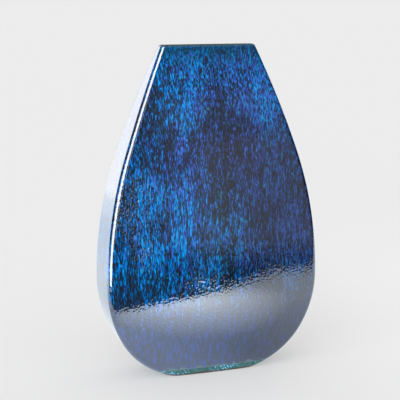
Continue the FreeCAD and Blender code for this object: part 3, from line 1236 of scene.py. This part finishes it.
@dataclass(frozen=True)
class Studio:
    """Pale table, soft lamps and the camera."""

    camera_azimuth: float = math.radians(-18.02)
    camera_pitch: float = math.radians(11.61)
    camera_distance: float = 1156 * MM
    camera_target: Point = (-8.5 * MM, 0.0, 202.0 * MM)
    lens: float = 90.0
    sensor: float = 36.0
    clip: tuple[float, float] = (0.01, 50.0)
    table_front: tuple[tuple[float, float], ...] = ((-0.95, 0.187), (0.30, -0.450), (1.2, -0.15))
    table_back: float = 2.6
    table_tint: Colour = (0.86, 0.94, 1.0)
    # painted light: the table glows dimmer to the right and brighter past its left end.
    table_right: Fade = Fade(0.04, 0.34, 1.10, 0.92)
    table_left: Fade = Fade(-0.42, -0.60, 0.0, 0.35)
    # painted light on the glowing table: a painted shadow round the foot, a painted pool of light
    # near the front edge and painted shade to the back left.
    painted_table_light: tuple[Spot, ...] = (
        Spot((0.06, -0.06, 0.0), (0.24, 0.22, 0.25), -0.62),
        Spot((0.035, -0.27, 0.0), (0.18, 0.18, 0.25), 2.0),
        Spot((-0.28, 0.10, 0.0), (0.26, 0.32, 0.25), -0.45),
    )
    floor_reach: float = 40.0
    floor_level: float = -0.1 * MM
    paper: float = 0.50
    paper_per_metre: float = 500.0
    paper_cool: float = 1.005
    paper_dim: float = 0.985
    paper_polish: tuple[float, float] = (0.85, 0.95)
    paper_glow: float = 0.325
    sky: float = 0.83

    @property
    def back(self) -> Array:
        """Turn the camera's azimuth and pitch into a direction.

        Returns:
            The unit direction from the target to the camera.
        """
        flat, up = math.cos(self.camera_pitch), math.sin(self.camera_pitch)
        turn = self.camera_azimuth
        return np.array([math.sin(turn) * flat, -math.cos(turn) * flat, up])

    def camera(self) -> None:
        """Put the camera at its distance from the target, looking at it."""
        data = bpy.data.cameras.new("camera")
        data.lens, data.sensor_width = self.lens, self.sensor
        data.clip_start, data.clip_end = self.clip
        thing = add_object("camera", data)
        thing.location = Vector(self.camera_target) + Vector(self.back) * self.camera_distance
        thing.rotation_mode = "QUATERNION"
        thing.rotation_quaternion = Vector(-self.back).to_track_quat("-Z", "Y")
        bpy.context.scene.camera = thing

    def paper_material(self) -> bpy.types.Material:
        """Make matt backlit paper with a trace of tooth, so shadows on it stay light.

        Returns:
            The finished material.
        """
        s = Shader("paper")
        tooth = s.noise(self.paper_per_metre)
        tone = self.paper
        pale, dim = (tone, tone, tone * self.paper_cool), (tone * self.paper_dim,) * 3
        s.set(Base_Color=s.blend(s.swing(tooth, 0.0, 1.0), pale, dim))
        s.set(Roughness=s.swing(tooth, *self.paper_polish), Specular_IOR_Level=0.0)
        s.set(Emission_Color=(1.0, 1.0, 1.0), Emission_Strength=self.paper_glow)
        return s.material

    def sheet(
        self,
        name: str,
        corners: Sequence[tuple[float, float]],
        level: float,
        finish: bpy.types.Material,
    ) -> bpy.types.Object:
        """Lay a flat sheet of paper.

        Args:
            name: the sheet's name.
            corners: its corners (x, y), counter-clockwise from above.
            level: its height.
            finish: its material.

        Returns:
            The new object.
        """
        mesh = bpy.data.meshes.new(name)
        mesh.from_pydata([(x, y, level) for x, y in corners], [], [tuple(range(len(corners)))])
        mesh.materials.append(finish)
        thing = add_object(name, mesh)
        return thing

    def table_material(self) -> bpy.types.Material:
        """Make the table as gloss sees it: a glowing sheet with painted light, a painted shadow round
        the foot, a painted pool of light in front, dimmer right.

        Returns:
            The finished material.
        """
        s = Shader("painted_light_table")
        right, left = (s.fade(s.axis("X"), one) for one in (self.table_right, self.table_left))
        glow = s.add_spots(s.sum("ADD", right, left), self.painted_table_light)
        s.set(Base_Color=(0.0, 0.0, 0.0), Specular_IOR_Level=0.0)
        s.set(Emission_Color=self.table_tint, Emission_Strength=glow)
        return s.material

    def floor(self) -> None:
        """Lay the wide floor that carries the shadows, and over it the table for gloss only."""
        far = self.floor_reach
        square = ((-far, -far), (far, -far), (far, far), (-far, far))
        wide = self.sheet("wide_floor", square, self.floor_level, self.paper_material())
        wide.visible_glossy = False
        (left, _), (right, _) = self.table_front[0], self.table_front[-1]
        corners = (*self.table_front, (right, self.table_back), (left, self.table_back))
        table = self.sheet("table", corners, 0.0, self.table_material())
        table.visible_camera = table.visible_diffuse = table.visible_shadow = False

    def world(self) -> None:
        """Make a plain pale room that lights the vase but leaves its gloss to the lamps."""
        world = bpy.data.worlds.new("room")
        world.use_nodes = True
        background = world.node_tree.nodes["Background"]
        background.inputs["Color"].default_value = (1.0, 1.0, 1.0, 1.0)
        background.inputs["Strength"].default_value = self.sky
        world.cycles_visibility.glossy = False
        bpy.context.scene.world = world

    def lamps(self) -> int:
        """Hang the lamps.

        Returns:
            How many there are.
        """
        gloss, light, room = Seen.GLOSS, Seen.LIGHT, (0.0, 0.0, 0.3)
        panel_at, panel_aim = (-0.95, 2.5, 1.25), (-0.5, 0.0, 1.2)
        lamps: tuple[SoftBox | Sun, ...] = (
            SoftBox("rear_left_panel", panel_at, panel_aim, 1.3, 2.7, 1.68, gloss, (1.0, 0.99, 1.0)),
            SoftBox("left_box", (-0.78, -0.46, 0.515), (0.0, 0.0, 0.415), 0.62, 1.27, 5.0, gloss),
            SoftBox("near_box", (-0.41, -1.44, 0.45), room, 0.22, 0.90, 1.2, gloss),
            SoftBox("right_fill", (0.55, 0.15, 0.40), (0.12, 0.0, 0.0), 0.4, 0.4, 0.5, light),
            SoftBox("room_wide", (0.93, -1.54, 0.43), room, 2.0, 1.22, 0.05, gloss),
            SoftBox("room_middle", (1.00, -1.49, 0.30), room, 1.76, 0.97, 0.07, gloss),
            SoftBox("room_right", (1.08, -1.44, 0.13), room, 1.53, 0.77, 0.08, gloss),
            Sun("window", (-0.65, -0.65, 0.95), 0.34, math.radians(50)),
            Sun("front_window", (-0.62, -1.00, 0.60), 0.60, math.radians(36)),
            Sun("low_window", (-1.30, -0.45, 0.42), 0.45, math.radians(28)),
        )
        for lamp in lamps:
            lamp.build()
        return len(lamps)

    def build(self) -> None:
        """Set up floor, room, lamps, camera and plain colour output."""
        self.floor()
        self.world()
        log.info("lamps: %d", self.lamps())
        self.camera()
        bpy.context.scene.view_settings.view_transform = "Standard"


# ---------------------------------------------------------------- making


def main() -> None:
    """Dress the body, build the glaze skins and the studio, and report each piece."""
    logging.basicConfig(level=logging.INFO, format="%(name)s %(message)s")
    log.info("clay solids dressed: %d", ClayBody().dress())
    for skin in (OuterGlaze(), FootBand(), Lip()):
        piece = skin.build()
        log.info("%s: %d faces", piece.name, len(piece.data.polygons))
    Studio().build()


if __name__ == "__main__":
    main()
